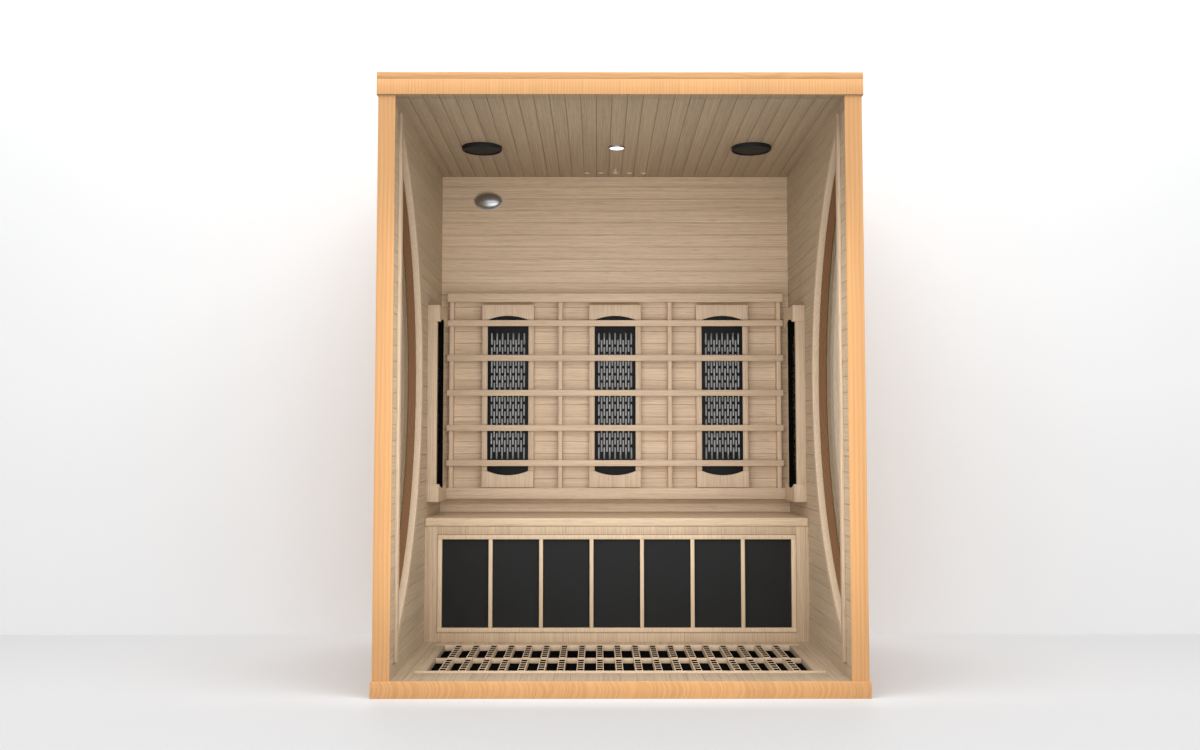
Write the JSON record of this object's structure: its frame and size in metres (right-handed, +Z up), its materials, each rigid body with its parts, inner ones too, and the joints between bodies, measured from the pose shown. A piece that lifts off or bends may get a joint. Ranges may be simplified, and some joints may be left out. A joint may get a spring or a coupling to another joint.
{
  "type": "infrared sauna cabin",
  "caption": "Open-front infrared sauna cabin with bow side windows, slatted backrest, bench, slotted wall heaters, floor grille and a sliding roof vent.",
  "frame": {"origin": "middle of the footprint, on the surface that the cabin stands on", "axes": "+Z up, -Y towards the open front, +X to the right of someone looking in"},
  "size_m": [1.54, 1.197, 1.955],
  "materials": {
    "outer_wood": "clear-finished warm softwood",
    "lining_wood": "washed oak, matt",
    "tinted_glass": "bronze-tinted clear",
    "guard_black": "satin black coat",
    "heater_panel": "matt black laminate",
    "reflector": "bright sheet",
    "element": "ceramic-coated",
    "chrome": "satin chrome",
    "speaker_black": "matt black",
    "lamp_lens": "opal, lit",
    "power_case": "grey coat"
  },
  "bodies": {
    "cabin": {"floor_panel": "outer_wood", "floor_heater": "heater_panel", "floor_grille": "lining_wood", "side_panel_left": "outer_wood", "side_panel_right": "outer_wood", "back_panel": "outer_wood", "side_lining_left": "lining_wood", "side_lining_right": "lining_wood", "back_lining": "lining_wood", "window_trim_left": "lining_wood", "window_trim_right": "lining_wood", "window_glass_left": "tinted_glass", "window_glass_right": "tinted_glass", "window_bead_left": "outer_wood", "window_bead_right": "outer_wood", "roof_frame": "outer_wood", "roof_cover": "outer_wood", "ceiling_boards": "lining_wood", "light_ring": "chrome", "light_lens": "lamp_lens", "speaker_left": "speaker_black", "speaker_right": "speaker_black", "ioniser": "chrome", "power_unit": "power_case", "heater_back_left_frame": "lining_wood", "heater_back_left_guard": "guard_black", "heater_back_left_reflector": "reflector", "heater_back_left_element": "element", "heater_back_middle_frame": "lining_wood", "heater_back_middle_guard": "guard_black", "heater_back_middle_reflector": "reflector", "heater_back_middle_element": "element", "heater_back_right_frame": "lining_wood", "heater_back_right_guard": "guard_black", "heater_back_right_reflector": "reflector", "heater_back_right_element": "element", "heater_side_left_frame": "lining_wood", "heater_side_left_guard": "guard_black", "heater_side_left_reflector": "reflector", "heater_side_left_element": "element", "heater_side_right_frame": "lining_wood", "heater_side_right_guard": "guard_black", "heater_side_right_reflector": "reflector", "heater_side_right_element": "element", "bench_seat": "lining_wood", "bench_apron": "lining_wood", "bench_heater_lattice": "lining_wood", "bench_heater_panel": "heater_panel", "backrest_top_rail": "lining_wood", "backrest_bottom_rail": "lining_wood", "backrest_post_1": "lining_wood", "backrest_post_2": "lining_wood", "backrest_post_3": "lining_wood", "backrest_post_4": "lining_wood", "backrest_slat_1": "lining_wood", "backrest_slat_2": "lining_wood", "backrest_slat_3": "lining_wood", "backrest_slat_4": "lining_wood", "backrest_slat_5": "lining_wood"},
    "vent": {"vent_slider": "lining_wood"}
  },
  "joints": [
    {"name": "vent_slide", "type": "slide", "parent": "cabin", "child": "vent", "axis": [1, 0, 0], "range_m": [0, 0.029]}
  ]
}
